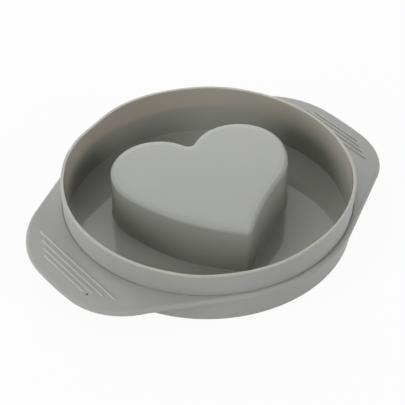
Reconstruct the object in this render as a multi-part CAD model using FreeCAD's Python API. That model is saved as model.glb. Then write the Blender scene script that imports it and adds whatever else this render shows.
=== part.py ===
# Silicone cake mould: a round pan with a raised heart, hollow underneath, and a flange with two handles.
# Millimetres, +Z up. The origin is on the pan's axis at its underside, and X runs through both handles.
import FreeCAD
import Part
import math
import os

from FreeCAD import Vector

NODE = "heart_mould"

# Pan
RIM_RADIUS = 100.0  # outside, at the top edge
HEIGHT = 39.9
WALL = 2.15
WALL_DRAFT = 1.0  # degrees by which the wall leans in towards the underside
FLOOR = 2.0
LIP_BREAK = 0.5  # both edges of the lip are broken by this much
BASE_BREAK = 1.4  # outside, round the underside
CORNER_BREAK = 1.0  # inside, between the wall and the floor

# Flange and handles, one plate round the wall
FLANGE_DROP = 16.8  # from the rim down to the flange's top
FLANGE_WIDTH = 3.5  # from the rim's outside, in plan
FLANGE_THICKNESS = 3.3
FLANGE_TOP_ROUND = 2.5
HANDLE_LENGTH = 27.5  # from the flange's edge to the end of a handle
HANDLE_SPREAD = 61.0  # degrees from X at which a handle's straight sides leave the flange
HANDLE_END_RADIUS = 250.0
HANDLE_CORNER_RADIUS = 54.5
HANDLE_SLOPE = 6.5  # degrees by which the handles hang
HANDLE_BEND_RADIUS = 20.0

# Grip ridges across each handle: distance from the flange's edge and half length
RIDGES = ((6.8, 42.1), (10.6, 34.6), (14.0, 27.9), (17.3, 22.2))
RIDGE_FOOT_WIDTH = 1.3
RIDGE_TOP_WIDTH = 0.8
RIDGE_HEIGHT = 0.6  # how far a ridge stands out of the handle

# Small blind hole past one end of the outermost ridge, on the handle towards -X
DIMPLE_GAP = 3.5  # from the ridge's end along Y
DIMPLE_INSET = 0.8  # from the ridge's line towards the pan
DIMPLE_DIAMETER = 1.7
DIMPLE_DEPTH = 1.6

# Raised heart, in its own frame: Y points from the tip to the notch, X lies along the lobes' centres
HEART_PLACE = (6.65, 17.1)  # middle between the lobes' centres, from the pan's axis
HEART_TURN = -20.0  # degrees about +Z
HEART_TOP_DROP = 2.5  # from the rim down to the heart's top
HEART_DRAFT = 1.3  # degrees by which the sides lean in
HEART_WALL = 2.0
HEART_TOP_THICKNESS = 2.0
HEART_EDGE_ROUND = 2.8
HEART_FOOT_BREAK = 0.8  # where the heart's side meets the floor
HOLLOW_MOUTH_BREAK = 1.0  # where the hollow opens in the underside
LOBE_HALF_SPACING = 29.4
LOBE_RADIUS = 33.3
CHEEK_LEFT_RADIUS = 42.2
CHEEK_RIGHT_RADIUS = 44.7
FLANK_LEFT_RADIUS = 143.0  # bulges outwards
FLANK_RIGHT_RADIUS = 500.0  # bows slightly inwards
TIP_PLACE = (5.1, -78.9)  # where the flanks would cross
TIP_INSIDE_RADIUS = 1.1
NOTCH_RADIUS = 4.0

# Worked out from the sizes above
WALL_LEAN = math.tan(math.radians(WALL_DRAFT))
FLANGE_TOP = HEIGHT - FLANGE_DROP
FLANGE_RADIUS = RIM_RADIUS + FLANGE_WIDTH
HANDLE_REACH = FLANGE_RADIUS + HANDLE_LENGTH  # from the pan's axis to the end of a handle
HEART_TOP = HEIGHT - HEART_TOP_DROP
HEART_LEAN = math.tan(math.radians(HEART_DRAFT))
TIP_RADIUS = TIP_INSIDE_RADIUS + HEART_WALL
OVERRUN = 10.0  # how far cutting and trimming solids run past what they cut
RIDGE_ROOT = 1.0  # how far a ridge's bar goes on below the handle's top
TOUCH = 1e-4  # two places closer than this are the same


def wall_radius(height):
    """Outside radius of the drafted pan wall at a height."""
    return RIM_RADIUS - (HEIGHT - height) * WALL_LEAN


def broken_section(corners):
    """Face in the XZ plane with (radius, height, break) corners, each cut off by its break."""
    points = [Vector(radius, 0, height) for radius, height, _ in corners]
    outline = []
    for index, (point, corner) in enumerate(zip(points, corners)):
        if not corner[2]:
            outline.append(point)
            continue
        for neighbour in (points[index - 1], points[(index + 1) % len(points)]):
            outline.append(point + (neighbour - point).normalize() * corner[2])
    return Part.Face(Part.makePolygon(outline + outline[:1]))


def pan():
    """Floor, wall and lip in one turn about Z."""
    section = broken_section([
        (0, 0, 0),
        (wall_radius(0), 0, BASE_BREAK),
        (RIM_RADIUS, HEIGHT, LIP_BREAK),
        (RIM_RADIUS - WALL, HEIGHT, LIP_BREAK),
        (wall_radius(FLOOR) - WALL, FLOOR, CORNER_BREAK),
        (0, FLOOR, 0),
    ])
    return section.revolve(Vector(0, 0, 0), Vector(0, 0, 1), 360)


def plate_section_half(side, offset):
    """Line of the plate in the XZ plane on one side, offset down from its top, from the middle outwards."""
    slope = math.radians(HANDLE_SLOPE)
    centre = Vector(side * RIM_RADIUS, 0, FLANGE_TOP - HANDLE_BEND_RADIUS)
    radius = HANDLE_BEND_RADIUS - offset

    def on_bend(angle):
        return centre + Vector(side * math.sin(angle), 0, math.cos(angle)) * radius

    middle = Vector(0, 0, FLANGE_TOP - offset)
    length = HANDLE_REACH - RIM_RADIUS + OVERRUN
    far = on_bend(slope) + Vector(side * math.cos(slope), 0, -math.sin(slope)) * length
    edges = [
        Part.LineSegment(middle, on_bend(0)).toShape(),
        Part.Arc(on_bend(0), on_bend(slope / 2), on_bend(slope)).toShape(),
        Part.LineSegment(on_bend(slope), far).toShape(),
    ]
    return edges, far


def plate_slab():
    """The plate's thickness, level at the flange and sloping down at the handles, before it is trimmed."""
    edges = []
    for side in (1, -1):
        top, top_end = plate_section_half(side, 0)
        under, under_end = plate_section_half(side, FLANGE_THICKNESS)
        edges += top + under + [Part.LineSegment(top_end, under_end).toShape()]
    section = Part.Face(Part.Wire(Part.__sortEdges__(edges)))
    width = 2 * (FLANGE_RADIUS + OVERRUN)
    section.translate(Vector(0, -width / 2, 0))
    return section.extrude(Vector(0, width, 0))


def plate_outline():
    """Plan of the flange with both handles: arcs and the handles' straight sides, all tangent."""
    spread = math.radians(HANDLE_SPREAD)
    outwards = Vector(math.cos(spread), math.sin(spread), 0)
    along = Vector(math.sin(spread), -math.cos(spread), 0)
    end_centre = Vector(HANDLE_REACH - HANDLE_END_RADIUS, 0, 0)
    inset = FLANGE_RADIUS - HANDLE_CORNER_RADIUS
    reach = HANDLE_END_RADIUS - HANDLE_CORNER_RADIUS
    run = end_centre.dot(along) + math.sqrt(reach**2 - (inset - end_centre.dot(outwards)) ** 2)
    corner_centre = outwards * inset + along * run
    to_end = (corner_centre - end_centre).normalize()
    side_start = outwards * FLANGE_RADIUS
    side_end = corner_centre + outwards * HANDLE_CORNER_RADIUS
    corner_middle = corner_centre + (outwards + to_end).normalize() * HANDLE_CORNER_RADIUS
    corner_end = end_centre + to_end * HANDLE_END_RADIUS

    def put(point, x_side, y_side):
        return Vector(point.x * x_side, point.y * y_side, 0)

    edges = []
    for x_side in (1, -1):
        tip = Vector(x_side * HANDLE_REACH, 0, 0)
        edges.append(Part.Arc(put(corner_end, x_side, 1), tip, put(corner_end, x_side, -1)).toShape())
        flange_middle = Vector(0, x_side * FLANGE_RADIUS, 0)
        ends = (put(side_start, -1, x_side), put(side_start, 1, x_side))
        edges.append(Part.Arc(ends[0], flange_middle, ends[1]).toShape())
        for y_side in (1, -1):
            corner = [put(point, x_side, y_side) for point in (side_end, corner_middle, corner_end)]
            edges.append(Part.LineSegment(put(side_start, x_side, y_side), corner[0]).toShape())
            edges.append(Part.Arc(*corner).toShape())
    return Part.Wire(Part.__sortEdges__(edges))


def handle_drop(reach):
    """How far the plate's top lies below the flange's top at a distance along X from the pan's axis."""
    slope = math.radians(HANDLE_SLOPE)
    past = max(reach - RIM_RADIUS, 0)
    bend = HANDLE_BEND_RADIUS * math.sin(slope)
    if past < bend:
        return HANDLE_BEND_RADIUS - math.sqrt(HANDLE_BEND_RADIUS**2 - past**2)
    return HANDLE_BEND_RADIUS * (1 - math.cos(slope)) + (past - bend) * math.tan(slope)


def plate():
    """Flange and handles as one plate, rounded along its upper edge, open where the pan passes through."""
    outline = plate_outline()
    blank = plate_slab().common(Part.Face(outline).extrude(Vector(0, 0, HEIGHT)))
    upper = []
    for edge in blank.Edges:
        middle = edge.valueAt((edge.FirstParameter + edge.LastParameter) / 2)
        on_top = FLANGE_TOP - handle_drop(abs(middle.x)) - middle.z < TOUCH
        if on_top and outline.distToShape(Part.Vertex(middle.x, middle.y, 0))[0] < TOUCH:
            upper.append(edge)
    inside_wall = Part.makeCylinder(wall_radius(FLANGE_TOP) - WALL / 2, HEIGHT)
    return blank.makeFillet(FLANGE_TOP_ROUND, upper).cut(inside_wall)


def both_places(centre_a, radius_a, centre_b, radius_b):
    """The two points that lie radius_a from centre_a and radius_b from centre_b."""
    line = centre_b - centre_a
    gap = line.Length
    along = (radius_a**2 - radius_b**2 + gap**2) / (2 * gap)
    aside = math.sqrt(radius_a**2 - along**2)
    unit = line / gap
    square = Vector(-unit.y, unit.x, 0)
    return centre_a + unit * along + square * aside, centre_a + unit * along - square * aside


def heart_arcs():
    """Circles that the heart's top outline follows, in order from the notch, round clockwise.

    Each is a centre and a radius, and the radius is negative where the outline bows inwards.
    """
    right_lobe = Vector(LOBE_HALF_SPACING, 0, 0)
    left_lobe = Vector(-LOBE_HALF_SPACING, 0, 0)
    shift = LOBE_HALF_SPACING + LOBE_RADIUS
    right_cheek = Vector(shift - CHEEK_RIGHT_RADIUS, 0, 0)
    left_cheek = Vector(CHEEK_LEFT_RADIUS - shift, 0, 0)
    cross = Vector(*TIP_PLACE, 0)
    out_of_notch = LOBE_RADIUS + NOTCH_RADIUS
    notch = max(both_places(left_lobe, out_of_notch, right_lobe, out_of_notch), key=lambda place: place.y)
    from_cheek = FLANK_RIGHT_RADIUS + CHEEK_RIGHT_RADIUS
    places = both_places(cross, FLANK_RIGHT_RADIUS, right_cheek, from_cheek)
    right_flank = max(places, key=lambda place: place.x)
    from_cheek = FLANK_LEFT_RADIUS - CHEEK_LEFT_RADIUS
    places = both_places(cross, FLANK_LEFT_RADIUS, left_cheek, from_cheek)
    left_flank = max(places, key=lambda place: place.x)
    from_right = FLANK_RIGHT_RADIUS + TIP_RADIUS
    from_left = FLANK_LEFT_RADIUS - TIP_RADIUS
    places = both_places(right_flank, from_right, left_flank, from_left)
    tip = min(places, key=lambda place: (place - cross).Length)
    return [
        (notch, -NOTCH_RADIUS),
        (right_lobe, LOBE_RADIUS),
        (right_cheek, CHEEK_RIGHT_RADIUS),
        (right_flank, -FLANK_RIGHT_RADIUS),
        (tip, TIP_RADIUS),
        (left_flank, FLANK_LEFT_RADIUS),
        (left_cheek, CHEEK_LEFT_RADIUS),
        (left_lobe, LOBE_RADIUS),
    ]


def heart_wire(outset, height):
    """The heart's outline at a height, moved outwards all round, in the pan's frame."""
    arcs = heart_arcs()
    normals = []
    for (centre, radius), (next_centre, next_radius) in zip(arcs, arcs[1:] + arcs[:1]):
        normals.append((next_centre - centre) / (radius - next_radius))
    edges = []
    for index, (centre, radius) in enumerate(arcs):
        start, end = normals[index - 1], normals[index]
        middle = (start + end).normalize()
        through = [centre + normal * (radius + outset) for normal in (start, middle, end)]
        edges.append(Part.Arc(*through).toShape())
    wire = Part.Wire(edges)
    wire.rotate(Vector(0, 0, 0), Vector(0, 0, 1), HEART_TURN)
    wire.translate(Vector(*HEART_PLACE, height))
    return wire


def heart_prism(inset, bottom, top):
    """Drafted prism inside the heart's sides by an inset, from one height to another."""
    wires = [heart_wire((HEART_TOP - height) * HEART_LEAN - inset, height) for height in (bottom, top)]
    return Part.makeLoft(wires, True, True)


def edges_at(shape, height, outline):
    """Edges of a shape that lie level at a height, on an outline."""
    found = []
    for edge in shape.Edges:
        box = edge.BoundBox
        if box.ZLength > TOUCH or abs(box.ZMin - height) > TOUCH:
            continue
        middle = edge.valueAt((edge.FirstParameter + edge.LastParameter) / 2)
        if outline.distToShape(Part.Vertex(middle))[0] < TOUCH:
            found.append(edge)
    return found


def heart_block():
    """Outside of the raised heart, filled in, with its top edge well rounded."""
    block = heart_prism(0, 0, HEART_TOP)
    return block.makeFillet(HEART_EDGE_ROUND, edges_at(block, HEART_TOP, heart_wire(0, HEART_TOP)))


def heart_hollow():
    """The space under the raised heart, open below."""
    return heart_prism(HEART_WALL, -OVERRUN, HEART_TOP - HEART_TOP_THICKNESS)


def grip_ridge(out, half_length):
    """One low drafted rib across a handle, out from the flange's edge, rooted in the handle's top."""
    reach = FLANGE_RADIUS + out
    surface = FLANGE_TOP - handle_drop(reach)
    foot, crest = RIDGE_FOOT_WIDTH / 2, RIDGE_TOP_WIDTH / 2
    right = [(foot, -RIDGE_ROOT), (foot, 0), (crest, RIDGE_HEIGHT)]
    left = [(-x, z) for x, z in reversed(right)]
    corners = [Vector(reach + x, -half_length, surface + z) for x, z in right + left]
    return Part.Face(Part.makePolygon(corners + corners[:1])).extrude(Vector(0, 2 * half_length, 0))


def dimple():
    """Blind hole cut into the handle's top."""
    ridge_out, ridge_half_length = RIDGES[-1]
    reach = FLANGE_RADIUS + ridge_out - DIMPLE_INSET
    bottom = FLANGE_TOP - handle_drop(reach) - DIMPLE_DEPTH
    centre = Vector(-reach, -ridge_half_length - DIMPLE_GAP, bottom)
    return Part.makeCylinder(DIMPLE_DIAMETER / 2, DIMPLE_DEPTH + OVERRUN, centre)


def mould():
    """The whole moulding, as one solid."""
    body = pan().fuse([plate(), heart_block()])
    foot = heart_wire((HEART_TOP - FLOOR) * HEART_LEAN, FLOOR)
    body = body.makeChamfer(HEART_FOOT_BREAK, edges_at(body, FLOOR, foot)).cut(heart_hollow())
    mouth = heart_wire(HEART_TOP * HEART_LEAN - HEART_WALL, 0)
    body = body.makeChamfer(HOLLOW_MOUTH_BREAK, edges_at(body, 0, mouth))
    for side in (1, -1):
        for out, half_length in RIDGES:
            ridge = grip_ridge(out, half_length)
            ridge.rotate(Vector(0, 0, 0), Vector(0, 0, 1), 90 - side * 90)
            body = body.fuse(ridge)
    return body.cut(dimple()).removeSplitter()


def main():
    body = mould()
    if len(body.Solids) != 1 or not body.isValid():
        raise RuntimeError("the mould did not come out as one valid solid")
    solid = body.Solids[0]
    os.makedirs("parts", exist_ok=True)
    solid.exportStep(os.path.join("parts", NODE + ".step"))
    print(NODE, "volume", round(solid.Volume), "mm3, faces", len(solid.Faces))


main()
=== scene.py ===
"""Looks of a silicone cake mould with a raised heart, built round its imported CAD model.

Sizes are in millimetres in the CAD's frame: +Z up, the pan's axis through the origin and X through both
handles. Finished pieces are scaled to metres once, in their meshes.
"""

from __future__ import annotations

import logging
import math
from dataclasses import dataclass, field
from enum import Enum
from typing import Any

import bmesh
import bpy
from mathutils import Matrix, Vector

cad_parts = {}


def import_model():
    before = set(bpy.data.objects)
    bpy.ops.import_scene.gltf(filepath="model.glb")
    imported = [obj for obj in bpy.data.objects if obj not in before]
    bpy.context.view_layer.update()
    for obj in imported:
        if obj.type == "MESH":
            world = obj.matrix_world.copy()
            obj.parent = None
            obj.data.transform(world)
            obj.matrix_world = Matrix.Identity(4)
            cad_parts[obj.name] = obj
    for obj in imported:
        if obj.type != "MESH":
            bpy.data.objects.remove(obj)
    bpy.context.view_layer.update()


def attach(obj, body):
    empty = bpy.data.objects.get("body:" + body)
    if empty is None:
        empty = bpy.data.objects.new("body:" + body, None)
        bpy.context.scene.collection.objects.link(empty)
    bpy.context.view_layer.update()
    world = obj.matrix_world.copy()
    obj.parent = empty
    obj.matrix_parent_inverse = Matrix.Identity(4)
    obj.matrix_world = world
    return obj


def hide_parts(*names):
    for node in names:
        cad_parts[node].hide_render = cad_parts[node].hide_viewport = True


LOG = logging.getLogger("mould")
MM = 0.001
SPOKES = 360  # points in every ring of the moulding's skin
FIRST_SPOKE = math.radians(79.0)  # its direction from X, a little past the heart's notch
SHARP_ANGLE = math.radians(38.0)
CAD_NODE = "heart_mould"

Ring = list[Vector]


class Zone(Enum):
    """Faces of the moulding that came off differently finished mould steel, by material index; their
    materials also carry painted shade inside the pan, a painted glow on the lip and painted highlights on
    the ribs.
    """

    INSIDE = 0
    WALL = 1
    LIP = 2
    TOP = 3
    OUTSIDE = 4
    RIB = 5


def linear(hex_colour: str) -> tuple[float, float, float, float]:
    """Turn an sRGB hex colour into the linear values that a shader socket takes.

    Args:
        hex_colour: Six hex digits.

    Returns:
        Red, green, blue and an alpha of 1.
    """
    channels = []
    for start in (0, 2, 4):
        value = int(hex_colour[start:start + 2], 16) / 255
        channels.append(value / 12.92 if value <= 0.04045 else ((value + 0.055) / 1.055) ** 2.4)
    return channels[0], channels[1], channels[2], 1.0


def add_node(tree: bpy.types.NodeTree, kind: str, settings: dict[str, Any] | None = None,
             inputs: dict[Any, Any] | None = None) -> bpy.types.Node:
    """Add a node, set its properties and fill its sockets.

    Args:
        tree: Node tree that takes the node.
        kind: Blender's name for the node type.
        settings: Node properties by name.
        inputs: Socket values by socket name or number; an output socket is linked.

    Returns:
        The new node.
    """
    node = tree.nodes.new(kind)
    for name, value in (settings or {}).items():
        setattr(node, name, value)
    for name, value in (inputs or {}).items():
        if isinstance(value, bpy.types.NodeSocket):
            tree.links.new(value, node.inputs[name])
        else:
            node.inputs[name].default_value = value
    return node


def empty_tree(owner: bpy.types.Material | bpy.types.World) -> bpy.types.NodeTree:
    """Give a material or a world a node tree with nothing in it."""
    owner.use_nodes = True
    owner.node_tree.nodes.clear()
    return owner.node_tree


def looked_at(tree: bpy.types.NodeTree) -> bpy.types.NodeSocket:
    """Tell the rays that show a surface from those that carry its light to other things.

    Args:
        tree: Node tree that takes the nodes.

    Returns:
        A socket with 1 for a ray from the camera, a mirror image or a clear body, and 0 for others.
    """
    ray = add_node(tree, "ShaderNodeLightPath")
    direct = add_node(tree, "ShaderNodeMath", {"operation": "MAXIMUM"}, {
        0: ray.outputs["Is Camera Ray"], 1: ray.outputs["Is Transmission Ray"]})
    shown = add_node(tree, "ShaderNodeMath", {"operation": "MAXIMUM"}, {
        0: direct.outputs["Value"], 1: ray.outputs["Is Glossy Ray"]})
    return shown.outputs["Value"]


def quarter(radius: float, steps: int, first: bool = True) -> list[tuple[float, float]]:
    """Walk along a quarter round.

    Args:
        radius: Radius of the round.
        steps: Number of chords.
        first: Whether the starting point is part of the result.

    Returns:
        Pairs that go from (0, 0) to (radius, radius), leaving along the first number.
    """
    start = 0 if first else 1
    angles = [math.pi / 2 * index / steps for index in range(start, steps + 1)]
    return [(radius * math.sin(angle), radius * (1 - math.cos(angle))) for angle in angles]


def both_places(centre_a: Vector, radius_a: float,
                centre_b: Vector, radius_b: float) -> tuple[Vector, Vector]:
    """Find the two plan points at given distances from two centres.

    Args:
        centre_a: First centre.
        radius_a: Distance from the first centre.
        centre_b: Second centre.
        radius_b: Distance from the second centre.

    Returns:
        Both points.
    """
    line = centre_b - centre_a
    gap = line.length
    along = (radius_a**2 - radius_b**2 + gap**2) / (2 * gap)
    aside = math.sqrt(radius_a**2 - along**2)
    unit = line / gap
    square = Vector((-unit.y, unit.x))
    middle = centre_a + unit * along
    return middle + square * aside, middle - square * aside


def between(inner: Ring, outer: Ring, share: float) -> Ring:
    """Lay a ring part of the way from one ring to another.

    Args:
        inner: Ring at a share of 0.
        outer: Ring at a share of 1.
        share: How far along the new ring lies.

    Returns:
        The new ring.
    """
    return [start.lerp(end, share) for start, end in zip(inner, outer)]


class Skin:
    """Closed skin made from one loop of edges, extruded from ring to ring and closed at both poles."""

    def __init__(self, first: Ring) -> None:
        """Start from a circle of edges laid on the first ring."""
        self.mesh = bmesh.new()
        self.spoke = self.mesh.verts.layers.int.new("spoke")
        bmesh.ops.create_circle(self.mesh, cap_ends=False, segments=len(first), radius=1.0)
        for index, vert in enumerate(self.mesh.verts):
            vert[self.spoke] = index
            vert.co = first[index]
        self.first_edges = list(self.mesh.edges)
        self.edges = list(self.mesh.edges)

    def extrude(self, edges: list[bmesh.types.BMEdge], ring: Ring,
                zone: Zone) -> list[bmesh.types.BMEdge]:
        """Extrude a loop of edges onto a ring.

        Args:
            edges: The loop.
            ring: Place of each spoke's new vertex.
            zone: Finish of the new faces.

        Returns:
            The new loop.
        """
        made = bmesh.ops.extrude_edge_only(self.mesh, edges=edges)["geom"]
        verts = {item for item in made if isinstance(item, bmesh.types.BMVert)}
        for vert in verts:
            vert.co = ring[vert[self.spoke]]
        for edge in edges:
            for face in edge.link_faces:
                corners = set(face.verts)
                if corners & verts and corners <= verts | set(edge.verts):
                    face.material_index = zone.value
        loop = [item for item in made if isinstance(item, bmesh.types.BMEdge)]
        return [edge for edge in loop if edge.verts[0] in verts and edge.verts[1] in verts]

    def draw(self, ring: Ring, zone: Zone) -> None:
        """Carry the skin on to the next ring."""
        self.edges = self.extrude(self.edges, ring, zone)

    def close(self, edges: list[bmesh.types.BMEdge], pole: Vector, zone: Zone) -> None:
        """Close a loop of edges at one point.

        Args:
            edges: The loop.
            pole: The point.
            zone: Finish of the new faces.
        """
        last = self.extrude(edges, [pole] * SPOKES, zone)
        verts = list({vert for edge in last for vert in edge.verts})
        bmesh.ops.pointmerge(self.mesh, verts=verts, merge_co=pole)


@dataclass
class Heart:
    """Raised heart in the middle of the pan, hollow below."""

    place: tuple[float, float] = (6.8, 17.7)
    turn: float = -20.0
    top: float = 37.4
    draft: float = 0.7
    wall: float = 2.0
    slimmer: float = 0.3  # how far the sides have drawn in, all round
    edge_round: float = 2.8
    border: float = 5.0  # width of the very slightly lower border of the top
    border_drop: float = 0.05
    foot_round: float = 0.6
    belly: float = 1.9  # how much farther the left flank stands out at the bottom than at the top
    tip_share: float = 0.85  # a ring goes in no farther than this share of the way to the tip's centre
    mouth_round: float = 1.2
    ceiling_round: float = 0.8
    lobe_half_spacing: float = 29.4
    lobe_radius: float = 33.2
    cheek_left_radius: float = 44.5
    cheek_right_radius: float = 49.5
    flank_left_radius: float = 168.0
    flank_right_radius: float = 200.0
    tip_place: tuple[float, float] = (7.8, -81.9)
    tip_radius: float = 3.4
    notch_radius: float = 4.0
    middle: tuple[float, float] = (0.0, -10.0)
    left_flank_number: int = 5  # in the chain of arcs, after the tip
    least_gap: float = 8.0  # the heart stays farther than this from the rim
    least_share: float = 22.0  # the short arcs at the notch and tip get points as if they were this long

    def arcs(self) -> list[tuple[Vector, float]]:
        """Work out the circles that the outline follows.

        Returns:
            Centre and radius of each, clockwise from the notch. A radius is negative where the outline
            bows inwards.
        """
        right_lobe = Vector((self.lobe_half_spacing, 0))
        left_lobe = -right_lobe
        shift = self.lobe_half_spacing + self.lobe_radius
        right_cheek = Vector((shift - self.cheek_right_radius, 0))
        left_cheek = Vector((self.cheek_left_radius - shift, 0))
        cross = Vector(self.tip_place)
        out_of_notch = self.lobe_radius + self.notch_radius
        places = both_places(left_lobe, out_of_notch, right_lobe, out_of_notch)
        notch = max(places, key=lambda place: place.y)
        from_cheek = self.flank_right_radius + self.cheek_right_radius
        places = both_places(cross, self.flank_right_radius, right_cheek, from_cheek)
        right_flank = max(places, key=lambda place: place.x)
        from_cheek = self.flank_left_radius - self.cheek_left_radius
        places = both_places(cross, self.flank_left_radius, left_cheek, from_cheek)
        left_flank = max(places, key=lambda place: place.x)
        from_right = self.flank_right_radius + self.tip_radius
        from_left = self.flank_left_radius - self.tip_radius
        places = both_places(right_flank, from_right, left_flank, from_left)
        tip = min(places, key=lambda place: (place - cross).length)
        return [
            (notch, -self.notch_radius),
            (right_lobe, self.lobe_radius),
            (right_cheek, self.cheek_right_radius),
            (right_flank, -self.flank_right_radius),
            (tip, self.tip_radius),
            (left_flank, self.flank_left_radius),
            (left_cheek, self.cheek_left_radius),
            (left_lobe, self.lobe_radius),
        ]

    def spokes(self) -> list[tuple[Vector, Vector, float, float]]:
        """Spread the skin's spokes over the outline's arcs.

        Returns:
            For each spoke its arc's centre, its outward direction, its arc's radius and its share of
            the belly.
        """
        arcs = self.arcs()
        turns = []
        for (centre, radius), (next_centre, next_radius) in zip(arcs, arcs[1:] + arcs[:1]):
            turns.append((next_centre - centre) / (radius - next_radius))
        sweeps = []
        for index, (_, radius) in enumerate(arcs):
            start = math.atan2(turns[index - 1].y, turns[index - 1].x)
            end = math.atan2(turns[index].y, turns[index].x)
            sweep = (end - start + math.pi) % (2 * math.pi) - math.pi
            sweeps.append((start, sweep, max(abs(sweep * radius), self.least_share)))
        total = sum(share for _, _, share in sweeps)
        found = []
        done = 0.0
        for number, ((centre, radius), (start, sweep, share)) in enumerate(zip(arcs, sweeps)):
            first, last = round(SPOKES * done / total), round(SPOKES * (done + share) / total)
            for index in range(first, last):
                along = (index - first) / (last - first)
                angle = start + sweep * along
                lean = math.sin(math.pi * along) if number == self.left_flank_number else 0.0
                found.append((centre, Vector((math.cos(angle), math.sin(angle))), radius, lean))
            done += share
        return found

    def ring(self, outset: float, height: float) -> Ring:
        """Lay a ring on the outline.

        Args:
            outset: How far outside the top's outline it runs.
            height: Its height.

        Returns:
            The ring in the pan's frame.
        """
        turn = Matrix.Rotation(math.radians(self.turn), 2)
        shift = Vector(self.place)
        tip, _ = self.arcs()[self.left_flank_number - 1]
        points = []
        for centre, way, radius, lean in self.spokes():
            room = (centre + way * radius - tip).length * self.tip_share
            out = max(outset, -room) - self.slimmer + lean * self.belly * (1 - height / self.top)
            points.append(turn @ (centre + way * (radius + out)) + shift)
        return [Vector((point.x, point.y, height)) for point in points]

    def pole(self, height: float) -> Vector:
        """Place the point in which the rings of the top or the ceiling close."""
        middle = Matrix.Rotation(math.radians(self.turn), 2) @ Vector(self.middle) + Vector(self.place)
        return Vector((middle.x, middle.y, height))

    def spread(self, height: float) -> float:
        """How far the drafted side stands outside the top's outline at a height."""
        return (self.top - height) * math.tan(math.radians(self.draft))


@dataclass
class Pan:
    """Round pan with a drafted wall and a rounded lip."""

    rim_radius: float = 100.0
    height: float = 39.9
    draft: float = 1.0
    wall: float = 2.15
    floor: float = 2.0
    corner_round: float = 0.4
    lip_inner_round: float = 0.35
    lip_outer_round: float = 0.45
    base_round: float = 2.0

    def outside(self, height: float) -> float:
        """Outside radius of the wall at a height."""
        return self.rim_radius - (self.height - height) * math.tan(math.radians(self.draft))

    def inside(self, height: float) -> float:
        """Inside radius of the wall at a height."""
        return self.outside(height) - self.wall


@dataclass
class Plate:
    """Flange round the wall with a drooping handle at each end of X."""

    rim_radius: float = 100.0
    top: float = 23.1
    thickness: float = 3.3
    flange_radius: float = 103.5
    reach: float = 130.99
    side_angle: float = 61.0
    end_radius: float = 250.0
    corner_radius: float = 54.5
    slope: float = 6.5
    turn: float = 0.5  # degrees by which both handles have twisted round the pan
    bend_radius: float = 20.0
    top_round: float = 2.5
    under_round: float = 0.7
    crease_width: float = 0.7  # of the narrow groove round the foot of the wall
    crease_depth: float = 0.42
    under_wall_round: float = 0.5

    def level(self, reach: float, depth: float) -> float:
        """Height of the plate's top, or of a surface some depth inside it.

        Args:
            reach: Distance from the pan's axis along X.
            depth: Distance below the plate's top, square to it.

        Returns:
            The height.
        """
        slope = math.radians(self.slope)
        past = max(abs(reach) - self.rim_radius, 0.0)
        radius = self.bend_radius - depth
        bend = radius * math.sin(slope)
        if past < bend:
            return self.top - depth - radius + math.sqrt(radius**2 - past**2)
        return self.top - depth - radius * (1 - math.cos(slope)) - (past - bend) * math.tan(slope)

    def edge(self, angle: float) -> tuple[Vector, Vector]:
        """Find where a ray from the pan's axis meets the plate's outline.

        Args:
            angle: Direction of the ray from X.

        Returns:
            The point and the outline's outward direction there, in plan.
        """
        turn = math.radians(self.turn)
        angle -= turn
        ray = Vector((abs(math.cos(angle)), abs(math.sin(angle))))
        mirror = Vector((math.copysign(1, math.cos(angle)), math.copysign(1, math.sin(angle))))
        spread = math.radians(self.side_angle)
        outwards = Vector((math.cos(spread), math.sin(spread)))
        along = Vector((math.sin(spread), -math.cos(spread)))
        end_centre = Vector((self.reach - self.end_radius, 0))
        inset = self.flange_radius - self.corner_radius
        span = self.end_radius - self.corner_radius
        run = end_centre.dot(along) + math.sqrt(span**2 - (inset - end_centre.dot(outwards)) ** 2)
        corner = outwards * inset + along * run
        side_end = corner + outwards * self.corner_radius
        corner_end = end_centre + (corner - end_centre).normalized() * self.end_radius
        turned = math.atan2(ray.y, ray.x)
        if turned >= spread:
            point, way = ray * self.flange_radius, ray
        elif turned >= math.atan2(side_end.y, side_end.x):
            point, way = ray * self.flange_radius / ray.dot(outwards), outwards
        else:
            on_corner = turned >= math.atan2(corner_end.y, corner_end.x)
            centre, radius = (corner, self.corner_radius) if on_corner else (end_centre, self.end_radius)
            toward = ray.dot(centre)
            point = ray * (toward + math.sqrt(radius**2 - centre.length_squared + toward**2))
            way = (point - centre) / radius
        back = Matrix.Rotation(turn, 2)
        return back @ (point * mirror), back @ (way * mirror)

    def ring(self, inset: float, drop: float, depth: float = 0.0) -> Ring:
        """Lay a ring beside the outline.

        Args:
            inset: Distance in from the outline.
            drop: Distance straight down from the surface.
            depth: Depth of the surface inside the plate.

        Returns:
            The ring.
        """
        found = []
        for angle in spoke_angles():
            point, way = self.edge(angle)
            place = point - way * inset
            found.append(Vector((place.x, place.y, self.level(place.x, depth) - drop)))
        return found

    def lay(self, ring: Ring, depth: float) -> Ring:
        """Drop a ring's points onto the plate's top or a surface some depth inside it."""
        return [Vector((point.x, point.y, self.level(point.x, depth))) for point in ring]


def spoke_angles() -> list[float]:
    """Directions of the spokes from the pan's axis, clockwise."""
    return [FIRST_SPOKE - 2 * math.pi * index / SPOKES for index in range(SPOKES)]


def circle(radius: float, height: float) -> Ring:
    """Lay a ring on a circle about the pan's axis."""
    return [Vector((radius * math.cos(angle), radius * math.sin(angle), height))
            for angle in spoke_angles()]


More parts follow.
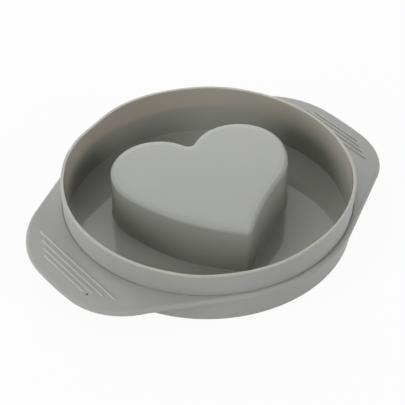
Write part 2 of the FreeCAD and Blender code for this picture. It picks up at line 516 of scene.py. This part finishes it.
@dataclass
class Ridges:
    """Low rounded ribs across both handles."""

    lines: tuple[tuple[float, float], ...] = ((110.3, 42.1), (114.1, 34.6), (117.5, 27.9), (120.8, 22.2))
    width: float = 1.5
    stand: float = 0.65
    root: float = 1.0
    round_share: float = 0.42  # of the width, so that the top is nearly a half round
    round_steps: int = 4

    def build(self, plate: Plate) -> bmesh.types.BMesh:
        """Make all the ribs as closed bars.

        Args:
            plate: Plate that they stand on.

        Returns:
            The bars.
        """
        mesh = bmesh.new()
        placed = mesh.verts.layers.int.new("placed")
        tall = self.stand + self.root
        for side in (1, -1):
            for reach, half_length in self.lines:
                made = bmesh.ops.create_cube(mesh, size=1.0)["verts"]
                bmesh.ops.scale(mesh, verts=made, vec=(self.width, 2 * half_length, tall))
                edges = {edge for vert in made for edge in vert.link_edges}
                soft = [edge for edge in edges if max(vert.co.z for vert in edge.verts) > 0]
                bmesh.ops.bevel(mesh, geom=soft, affect="EDGES", offset=self.width * self.round_share,
                                segments=self.round_steps, profile=0.5, material=-1, clamp_overlap=True)
                bar = [vert for vert in mesh.verts if not vert[placed]]
                tilt = Matrix.Rotation(math.radians(plate.slope), 4, "Y")
                lift = Matrix.Translation((reach, 0, plate.level(reach, 0) + (self.stand - self.root) / 2))
                turn = Matrix.Rotation(0 if side > 0 else math.pi, 4, "Z")
                bmesh.ops.transform(mesh, matrix=turn @ lift @ tilt, verts=bar)
                for vert in bar:
                    vert[placed] = 1
        # Every rib face takes the rib material, whose paler colour is a painted highlight
        for face in mesh.faces:
            face.material_index = Zone.RIB.value
        return mesh


@dataclass
class Dimple:
    """Small blind hole beside the end of the outermost rib on one handle."""

    place: tuple[float, float] = (-120.4, -25.3)
    diameter: float = 1.8
    depth: float = 2.6
    sides: int = 24
    foot_share: float = 0.85  # radii at the plug's two ends, as shares of the hole's
    head_share: float = 1.1

    def build(self, plate: Plate) -> bmesh.types.BMesh:
        """Make the plug that cuts the hole.

        Args:
            plate: Plate that it is cut into.

        Returns:
            The plug.
        """
        mesh = bmesh.new()
        radius = self.diameter / 2
        level = plate.level(self.place[0], 0)
        bmesh.ops.create_cone(mesh, cap_ends=True, segments=self.sides, radius1=radius * self.foot_share,
                              radius2=radius * self.head_share, depth=2 * self.depth)
        bmesh.ops.translate(mesh, verts=mesh.verts, vec=(*self.place, level))
        for face in mesh.faces:
            face.material_index = Zone.OUTSIDE.value
        return mesh


@dataclass
class Slack:
    """How the soft rim has settled out of round: smooth bumps and dents that fade out down the wall."""

    # middle in degrees from X, half width in degrees, and height of each in mm, inwards where negative
    bumps: tuple[tuple[float, float, float], ...] = (
        (-174.0, 24.0, -0.35),
        (-134.0, 13.0, 0.65),
        (-84.0, 22.0, -0.8),
        (-41.0, 30.0, 1.0),
        (50.0, 36.0, 0.9),
        (82.0, 22.0, 1.2),
        (106.0, 14.0, -1.25),
        (129.0, 10.0, 0.35),
    )
    foot: float = 23.1  # height at which the wall stays round, held by the flange
    reach: float = 16.8  # from there up to the rim

    def shift(self, angle: float) -> float:
        """How far the rim stands out of round in one direction, in degrees from X."""
        total = 0.0
        for middle, half_width, height in self.bumps:
            away = abs((angle - middle + 180) % 360 - 180)
            if away < half_width:
                total += height * (1 + math.cos(math.pi * away / half_width)) / 2
        return total

    def apply(self, mesh: bmesh.types.BMesh, heart_reach: float) -> None:
        """Move the wall's vertices above the flange.

        Args:
            mesh: The moulding, in millimetres.
            heart_reach: Radius within which everything belongs to the heart and stays.
        """
        for vert in mesh.verts:
            radius = math.hypot(vert.co.x, vert.co.y)
            rise = min(max((vert.co.z - self.foot) / self.reach, 0.0), 1.0)
            if rise and radius > heart_reach:
                out = self.shift(math.degrees(math.atan2(vert.co.y, vert.co.x))) * rise**2 * (3 - 2 * rise)
                vert.co.x *= 1 + out / radius
                vert.co.y *= 1 + out / radius


@dataclass
class Mould:
    """The one-piece moulding: pan, raised heart, flange and handles.

    In the draw methods, each share places a ring between the two ends of a stretch, and each round says in
    how many chords it is drawn.
    """

    pan: Pan = field(default_factory=Pan)
    heart: Heart = field(default_factory=Heart)
    plate: Plate = field(default_factory=Plate)
    ridges: Ridges = field(default_factory=Ridges)
    dimple: Dimple = field(default_factory=Dimple)
    slack: Slack = field(default_factory=Slack)
    support: float = 0.3  # width of the flat strip that keeps a round's shading off the flat beside it

    def draw_heart(self) -> Skin:
        """Start the skin on the heart's top and bring it down the sides to the floor.

        Returns:
            The skin, up to the end of the heart's foot.
        """
        heart, floor = self.heart, self.pan.floor
        middle = heart.ring(-heart.border - self.support, heart.top)
        flat = [heart.pole(heart.top)] * SPOKES
        skin = Skin(between(flat, middle, 0.3))
        for share in (0.6, 0.85, 1.0):
            skin.draw(between(flat, middle, share), Zone.TOP)
        skin.draw(heart.ring(-heart.border, heart.top), Zone.TOP)
        brink = heart.top - heart.border_drop
        skin.draw(heart.ring(self.support - heart.border, brink), Zone.TOP)
        skin.draw(heart.ring(-heart.edge_round - self.support / 2, brink), Zone.TOP)
        for out, down in quarter(heart.edge_round, 8):
            height = brink - down
            skin.draw(heart.ring(out - heart.edge_round + heart.spread(height), height), Zone.TOP)
        shoulder = brink - heart.edge_round
        bottom = floor + heart.foot_round
        for share in (0.2, 0.5, 0.8):
            height = shoulder + (bottom - shoulder) * share
            skin.draw(heart.ring(heart.spread(height), height), Zone.INSIDE)
        for down, out in quarter(heart.foot_round, 5):
            height = bottom - down
            skin.draw(heart.ring(heart.spread(height) + out, height), Zone.INSIDE)
        skin.draw(heart.ring(heart.spread(floor) + heart.foot_round + self.support, floor), Zone.INSIDE)
        return skin

    def draw_pan(self, skin: Skin) -> None:
        """Carry the skin over the floor, up the inner wall, over the lip and down to the flange."""
        pan, heart, plate = self.pan, self.heart, self.plate
        foot = heart.ring(heart.spread(pan.floor) + heart.foot_round + self.support, pan.floor)
        corner = pan.floor + pan.corner_round
        start = pan.inside(corner) - pan.corner_round
        shore = circle(start - self.support, pan.floor)
        for share in (0.2, 0.4, 0.6, 0.8, 1.0):
            skin.draw(between(foot, shore, share), Zone.INSIDE)
        for out, up in quarter(pan.corner_round, 6):
            skin.draw(circle(start + out, pan.floor + up), Zone.INSIDE)
        crest = pan.height - pan.lip_inner_round
        for share in (0.15, 0.3, 0.45, 0.6, 0.75, 0.9, 0.97, 1.0):
            height = corner + (crest - corner) * share
            skin.draw(circle(pan.inside(height), height), Zone.WALL)
        for up, out in quarter(pan.lip_inner_round, 4, first=False):
            skin.draw(circle(pan.inside(crest) + out, crest + up), Zone.LIP)
        flat_end = pan.outside(pan.height) - pan.lip_outer_round
        for out, down in quarter(pan.lip_outer_round, 4):
            skin.draw(circle(flat_end + out, pan.height - down), Zone.LIP)
        high = pan.height - pan.lip_outer_round
        low = plate.top - plate.crease_depth
        for share in (0.04, 0.2, 0.4, 0.6, 0.8, 0.96, 1.0):
            height = high + (low - high) * share
            skin.draw(circle(pan.outside(height), height), Zone.OUTSIDE)

    def draw_plate(self, skin: Skin) -> None:
        """Carry the skin out over the flange and handles, round their edge and back under them."""
        pan, plate = self.pan, self.plate
        start = pan.outside(plate.top)
        for share in (0.15, 0.3, 0.45, 0.6, 0.8, 1.0):
            sunk = plate.crease_depth * (1 + math.cos(math.pi * share)) / 2
            skin.draw(circle(start + plate.crease_width * share, plate.top - sunk), Zone.OUTSIDE)
        root = circle(start + plate.crease_width + self.support / 2, plate.top)
        brink = plate.ring(plate.top_round + self.support, 0)
        for share in (0.0, 0.12, 0.25, 0.4, 0.55, 0.7, 0.85, 1.0):
            skin.draw(plate.lay(between(root, brink, share), 0), Zone.OUTSIDE)
        for out, down in quarter(plate.top_round, 7):
            skin.draw(plate.ring(plate.top_round - out, down), Zone.OUTSIDE)
        under = plate.under_round
        for down, inwards in quarter(under, 3):
            skin.draw(plate.ring(inwards, down - under, plate.thickness), Zone.OUTSIDE)
        lower = plate.top - plate.thickness
        under_root = circle(pan.outside(lower) + plate.under_wall_round, lower)
        under_brink = plate.ring(under + self.support, 0, plate.thickness)
        for share in (1.0, 0.8, 0.6, 0.45, 0.3, 0.15, 0.0):
            skin.draw(plate.lay(between(under_root, under_brink, share), plate.thickness), Zone.OUTSIDE)
        for inwards, down in quarter(plate.under_wall_round, 3, first=False):
            reach = pan.outside(lower - down) + plate.under_wall_round - inwards
            skin.draw(circle(reach, lower - down), Zone.OUTSIDE)

    def draw_underside(self, skin: Skin) -> None:
        """Carry the skin down the lower wall, under the floor and up into the hollow, and close it."""
        pan, heart, plate = self.pan, self.heart, self.plate
        high = plate.top - plate.thickness - plate.under_wall_round
        low = pan.base_round
        for share in (0.03, 0.25, 0.5, 0.75, 0.97, 1.0):
            height = high + (low - high) * share
            skin.draw(circle(pan.outside(height), height), Zone.OUTSIDE)
        for down, inwards in quarter(pan.base_round, 6, first=False):
            skin.draw(circle(pan.outside(low) - inwards, low - down), Zone.OUTSIDE)
        brink = circle(pan.outside(low) - pan.base_round - self.support, 0)
        mouth = heart.spread(0) - heart.wall
        foot = heart.ring(mouth + heart.mouth_round + self.support, 0)
        for share in (0.0, 0.2, 0.4, 0.6, 0.8, 1.0):
            skin.draw(between(brink, foot, share), Zone.OUTSIDE)
        for inwards, up in quarter(heart.mouth_round, 5):
            reach = heart.spread(up) - heart.wall + heart.mouth_round - inwards
            skin.draw(heart.ring(reach, up), Zone.OUTSIDE)
        ceiling = heart.top - heart.wall
        top = ceiling - heart.ceiling_round
        for share in (0.2, 0.5, 0.8):
            height = heart.mouth_round + (top - heart.mouth_round) * share
            skin.draw(heart.ring(heart.spread(height) - heart.wall, height), Zone.OUTSIDE)
        for up, inwards in quarter(heart.ceiling_round, 4):
            height = top + up
            skin.draw(heart.ring(heart.spread(height) - heart.wall - inwards, height), Zone.OUTSIDE)
        edge = heart.ring(heart.spread(ceiling) - heart.wall - heart.ceiling_round, ceiling)
        flat = [heart.pole(ceiling)] * SPOKES
        for share in (0.9, 0.6, 0.3):
            skin.draw(between(flat, edge, share), Zone.OUTSIDE)
        skin.close(skin.edges, heart.pole(ceiling), Zone.OUTSIDE)

    def build(self, finishes: list[bpy.types.Material]) -> bpy.types.Object:
        """Make the whole moulding.

        Args:
            finishes: Materials in the order of the zones.

        Returns:
            The finished object, in metres.
        """
        skin = self.draw_heart()
        self.draw_pan(skin)
        self.draw_plate(skin)
        self.draw_underside(skin)
        skin.close(skin.first_edges, self.heart.pole(self.heart.top), Zone.TOP)
        bmesh.ops.recalc_face_normals(skin.mesh, faces=skin.mesh.faces)
        self.slack.apply(skin.mesh, self.pan.rim_radius - self.heart.least_gap)
        body = new_object("heart_mould_skin", skin.mesh, finishes)
        tools = [
            ("UNION", new_object("rib_tool", self.ridges.build(self.plate), finishes)),
            ("DIFFERENCE", new_object("dimple_tool", self.dimple.build(self.plate), finishes)),
        ]
        for operation, tool in tools:
            change = body.modifiers.new(operation.lower(), "BOOLEAN")
            change.operation = operation
            change.solver = "EXACT"
            change.object = tool
        freeze(body)
        for _, tool in tools:
            bpy.data.objects.remove(tool)
        crease(body)
        return body


def new_object(name: str, mesh: bmesh.types.BMesh,
               finishes: list[bpy.types.Material]) -> bpy.types.Object:
    """Turn a mesh in millimetres into an object in metres.

    Args:
        name: Name of the piece.
        mesh: The mesh, which is freed.
        finishes: Materials of the piece.

    Returns:
        The object, at the origin.
    """
    bmesh.ops.scale(mesh, verts=mesh.verts, vec=(MM, MM, MM))
    data = bpy.data.meshes.new(name)
    mesh.to_mesh(data)
    mesh.free()
    for finish in finishes:
        data.materials.append(finish)
    piece = bpy.data.objects.new(name, data)
    bpy.context.scene.collection.objects.link(piece)
    return piece


def freeze(piece: bpy.types.Object) -> None:
    """Apply all of a piece's modifiers to its mesh."""
    bpy.context.view_layer.update()
    graph = bpy.context.evaluated_depsgraph_get()
    data = bpy.data.meshes.new_from_object(piece.evaluated_get(graph))
    piece.modifiers.clear()
    piece.data = data


def crease(piece: bpy.types.Object) -> None:
    """Shade a piece smooth but for its sharp edges."""
    mesh = bmesh.new()
    mesh.from_mesh(piece.data)
    for face in mesh.faces:
        face.smooth = True
    for edge in mesh.edges:
        edge.smooth = len(edge.link_faces) == 2 and edge.calc_face_angle(0.0) < SHARP_ANGLE
    mesh.to_mesh(piece.data)
    mesh.free()


@dataclass(frozen=True)
class Silicone:
    """Grey silicone rubber, compression-moulded against steel."""

    name: str
    colour: str
    cloud_colour: str
    roughness: float
    grain_depth: float  # metres
    grain_size: float = 0.9  # mm between the grain's bumps, coarser than real so that it shows
    grain_detail: float = 3.0
    cloud_size: float = 45.0  # mm across the pigment's faint clouds
    cloud_detail: float = 2.0
    ior: float = 1.41
    through: float = 0.0  # share of the light that comes through the thin wall above the flange
    through_from: float = 18.5  # mm above the underside at which it starts
    through_to: float = 25.5
    reach: float = 5.8  # mm that it wanders in the rubber
    reach_by_colour: tuple[float, float, float] = (1.14, 1.0, 0.95)  # red light wanders farthest

    def material(self) -> bpy.types.Material:
        """Build the material.

        Returns:
            The material.
        """
        made = bpy.data.materials.new(self.name)
        tree = empty_tree(made)
        place = add_node(tree, "ShaderNodeTexCoord").outputs["Object"]
        cloud = add_node(tree, "ShaderNodeTexNoise", inputs={
            "Vector": place, "Scale": 1 / (self.cloud_size * MM), "Detail": self.cloud_detail})
        colour = add_node(tree, "ShaderNodeMix", {"data_type": "RGBA"}, {
            "Factor": cloud.outputs["Fac"], "A": linear(self.colour), "B": linear(self.cloud_colour)})
        grain = add_node(tree, "ShaderNodeTexNoise", inputs={
            "Vector": place, "Scale": 1 / (self.grain_size * MM), "Detail": self.grain_detail})
        bump = add_node(tree, "ShaderNodeBump", inputs={
            "Height": grain.outputs["Fac"], "Strength": 1.0, "Distance": self.grain_depth})
        shader = add_node(tree, "ShaderNodeBsdfPrincipled", inputs={
            "Base Color": colour.outputs["Result"], "Normal": bump.outputs["Normal"],
            "Roughness": self.roughness, "IOR": self.ior})
        if self.through:
            height = add_node(tree, "ShaderNodeSeparateXYZ", inputs={"Vector": place}).outputs["Z"]
            share = add_node(tree, "ShaderNodeMapRange", {"interpolation_type": "SMOOTHSTEP"}, {
                "Value": height, "From Min": self.through_from * MM, "From Max": self.through_to * MM,
                "To Max": self.through})
            tree.links.new(share.outputs["Result"], shader.inputs["Subsurface Weight"])
            shader.inputs["Subsurface Radius"].default_value = self.reach_by_colour
            shader.inputs["Subsurface Scale"].default_value = self.reach * MM
        add_node(tree, "ShaderNodeOutputMaterial", inputs={"Surface": shader.outputs["BSDF"]})
        return made


@dataclass(frozen=True)
class Softbox:
    """Soft lamp that faces the mould."""

    name: str
    azimuth: float  # degrees to the right of the camera's side, round the mould
    elevation: float
    level: float  # brightness of its face, where 1 is the white of a fully lit wall
    size: tuple[float, float] = (1.0, 1.0)  # metres
    distance: float = 2.2
    mirrored: bool = True  # low lamps give no mirror images: they would glare on the heart in other views

    def hang(self, camera_azimuth: float) -> bpy.types.Object:
        """Hang the lamp.

        Args:
            camera_azimuth: The camera's own azimuth, in degrees.

        Returns:
            The lamp.
        """
        data = bpy.data.lights.new(self.name, "AREA")
        data.shape = "RECTANGLE"
        data.size, data.size_y = self.size
        data.energy = self.level * math.pi * self.size[0] * self.size[1]
        lamp = bpy.data.objects.new(self.name, data)
        plan = math.radians(camera_azimuth - 90 + self.azimuth)
        rise = math.radians(self.elevation)
        spot = Vector((math.cos(plan) * math.cos(rise), math.sin(plan) * math.cos(rise), math.sin(rise)))
        spot *= self.distance
        lamp.matrix_world = Matrix.Translation(spot) @ spot.to_track_quat("Z", "Y").to_matrix().to_4x4()
        lamp.visible_glossy = self.mirrored
        bpy.context.scene.collection.objects.link(lamp)
        return lamp


@dataclass
class Studio:
    """White table, soft light from all round and the camera."""

    azimuth: float = -38.89
    elevation: float = 40.969
    roll: float = -0.618
    distance: float = 975.0
    lens: float = 125.384  # mm, on a sensor of the next width
    sensor: float = 36.0
    near: float = 0.01  # metres from the eye at which the picture starts
    target: tuple[float, float, float] = (-2.867, 2.312, 14.588)
    room_level: float = 0.05
    softboxes: tuple[Softbox, ...] = (
        Softbox("left front", 302, 18, 6.6, size=(1.0, 1.3), mirrored=False),
        Softbox("right front", 60, 25, 6.4, mirrored=False),
        Softbox("left far, low", 228, 8, 7.9, size=(1.0, 0.6), mirrored=False),
        Softbox("right far, low", 140, 8, 4.3, size=(1.0, 0.6), mirrored=False),
        Softbox("far", 180, 25, 3.8),
        Softbox("far, mirrored in the floor", 180, 42, 0.6, size=(1.3, 0.5), distance=2.0),
        Softbox("overhead, far", 220, 60, 1.6),
        Softbox("overhead", 0, 88, 1.5),
        Softbox("left front, high", 300, 42, 1.0),
    )
    table_size: float = 6.0  # metres
    table_white: float = 0.85
    table_shown: float = 0.94  # share of plain white in what the camera sees of it, over its lit paint

    def aim(self) -> bpy.types.Object:
        """Set up the camera at the photograph's viewing angle.

        Returns:
            The camera.
        """
        turn, rise, roll = (math.radians(angle) for angle in (self.azimuth, self.elevation, self.roll))
        back = Vector((math.sin(turn) * math.cos(rise), -math.cos(turn) * math.cos(rise), math.sin(rise)))
        across = Vector((math.cos(turn), math.sin(turn), 0))
        up = back.cross(across)
        right = across * math.cos(roll) + up * math.sin(roll)
        up = up * math.cos(roll) - across * math.sin(roll)
        eye = (Vector(self.target) + back * self.distance) * MM
        data = bpy.data.cameras.new("camera")
        data.sensor_width = self.sensor
        data.lens = self.lens
        data.clip_start = self.near
        camera = bpy.data.objects.new("camera", data)
        camera.matrix_world = Matrix.Translation(eye) @ Matrix((right, up, back)).transposed().to_4x4()
        bpy.context.scene.collection.objects.link(camera)
        bpy.context.scene.camera = camera
        return camera

    def light(self) -> None:
        """Fill the world with faint plain light, shown white, and hang the lamps."""
        world = bpy.data.worlds.new("soft room")
        tree = empty_tree(world)
        level = add_node(tree, "ShaderNodeMapRange", inputs={
            "Value": looked_at(tree), "To Min": self.room_level, "To Max": 1.0})
        sky = add_node(tree, "ShaderNodeBackground", inputs={
            "Color": (1, 1, 1, 1), "Strength": level.outputs["Result"]})
        add_node(tree, "ShaderNodeOutputWorld", inputs={"Surface": sky.outputs["Background"]})
        bpy.context.scene.world = world
        for softbox in self.softboxes:
            softbox.hang(self.azimuth)

    def table(self) -> bpy.types.Object:
        """Lay the white table that the mould stands on.

        Returns:
            The table.
        """
        mesh = bmesh.new()
        bmesh.ops.create_grid(mesh, x_segments=1, y_segments=1, size=self.table_size / 2 / MM)
        made = bpy.data.materials.new("white table")
        tree = empty_tree(made)
        share = add_node(tree, "ShaderNodeMath", {"operation": "MULTIPLY"}, {
            0: looked_at(tree), 1: self.table_shown})
        white = (self.table_white, self.table_white, self.table_white, 1.0)
        paint = add_node(tree, "ShaderNodeBsdfDiffuse", inputs={"Color": white})
        glow = add_node(tree, "ShaderNodeEmission", inputs={"Color": (1, 1, 1, 1), "Strength": 1.0})
        blend = add_node(tree, "ShaderNodeMixShader", inputs={
            0: share.outputs["Value"], 1: paint.outputs["BSDF"], 2: glow.outputs["Emission"]})
        add_node(tree, "ShaderNodeOutputMaterial", inputs={"Surface": blend.outputs["Shader"]})
        top = new_object("table", mesh, [made])
        return top


# Faces formed by polished steel: darkish mirror images of the walls and heart lie in them. Painted shade:
# their colour is darker than the outside's
POLISHED = Silicone("moulded silicone, polished, painted shade", "A1A29B", "9E9F98", 0.06, 0.000001)
# Polished too, and thin: above the flange daylight glows warmly through it. Its darker colour is the same
# painted shade
WALL = Silicone("moulded silicone, wall, painted shade", "A1A19A", "9E9E97", 0.12, 0.000002, through=1.0)
# Face formed by finely stoned steel, with a fine grain and a faint broad sheen; paler than the faces
# inside the pan, which carry painted shade
TOP = Silicone("moulded silicone, top", "A6A8A2", "A3A5A0", 0.3, 0.000012)
# The thin lip lets some light through; its paler, warmer colour than the walls' is painted glow that
# stands in for that light
LIP = Silicone("moulded silicone, thin lip, painted glow", "BBB8AF", "B7B3AA", 0.35, 0.000006)
# Faces formed by blasted steel: soft even sheen with no mirror images
SATIN = Silicone("moulded silicone, satin", "A8A9A5", "A3A4A1", 0.45, 0.000015)
# The ribs came out of cut grooves in that steel, so they are smoother; their paler colour is a painted
# highlight that makes the crests show as pale lines
RIB = Silicone("moulded silicone, rib crests, painted highlight", "BBBBB5", "B6B6B0", 0.3, 0.000004)


def main() -> None:
    """Load the frame, build the mould and the studio, and log the mould's face count."""
    logging.basicConfig(level=logging.INFO)
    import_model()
    scene = bpy.context.scene
    scene.view_settings.view_transform = "Standard"
    finishes = [finish.material() for finish in (POLISHED, WALL, LIP, TOP, SATIN, RIB)]
    mould = Mould().build(finishes)
    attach(mould, "root")
    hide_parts(CAD_NODE)
    LOG.info("%s: %d faces", mould.name, len(mould.data.polygons))
    studio = Studio()
    studio.table()
    studio.light()
    studio.aim()


if __name__ == "__main__":
    main()
